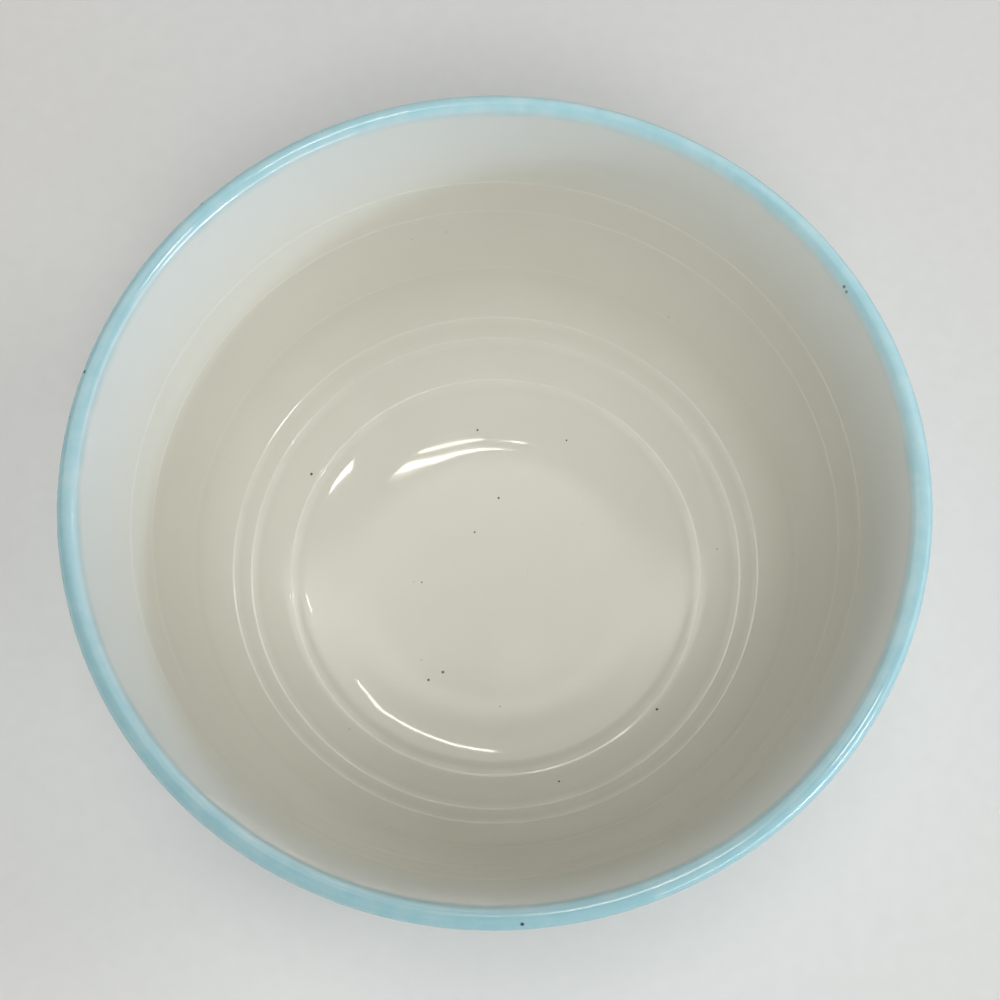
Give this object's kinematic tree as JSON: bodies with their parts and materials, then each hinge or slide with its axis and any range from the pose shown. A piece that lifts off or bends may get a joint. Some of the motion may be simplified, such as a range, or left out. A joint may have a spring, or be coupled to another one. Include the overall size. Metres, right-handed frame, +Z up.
{
  "type": "bowl",
  "caption": "Deep round ceramic bowl with a flared wall, low turned ribs, a rounded lip and a foot ring; holds food or liquid.",
  "frame": {"origin": "on the bowl's axis, in the plane of the foot ring's underside", "axes": "+Z up along the bowl's axis, out of its mouth; -Y faces the camera"},
  "size_m": [0.1498, 0.1498, 0.076],
  "materials": {
    "clay": "bare, fine-grained and matt",
    "cream_glaze": "glossy",
    "lip_blue_glaze": "glossy",
    "outside_blue_glaze": "glossy"
  },
  "bodies": {
    "root": {"clay_body": "clay", "inside_glaze": "cream_glaze", "lip_glaze": "lip_blue_glaze", "outside_glaze": "outside_blue_glaze"}
  },
  "joints": []
}
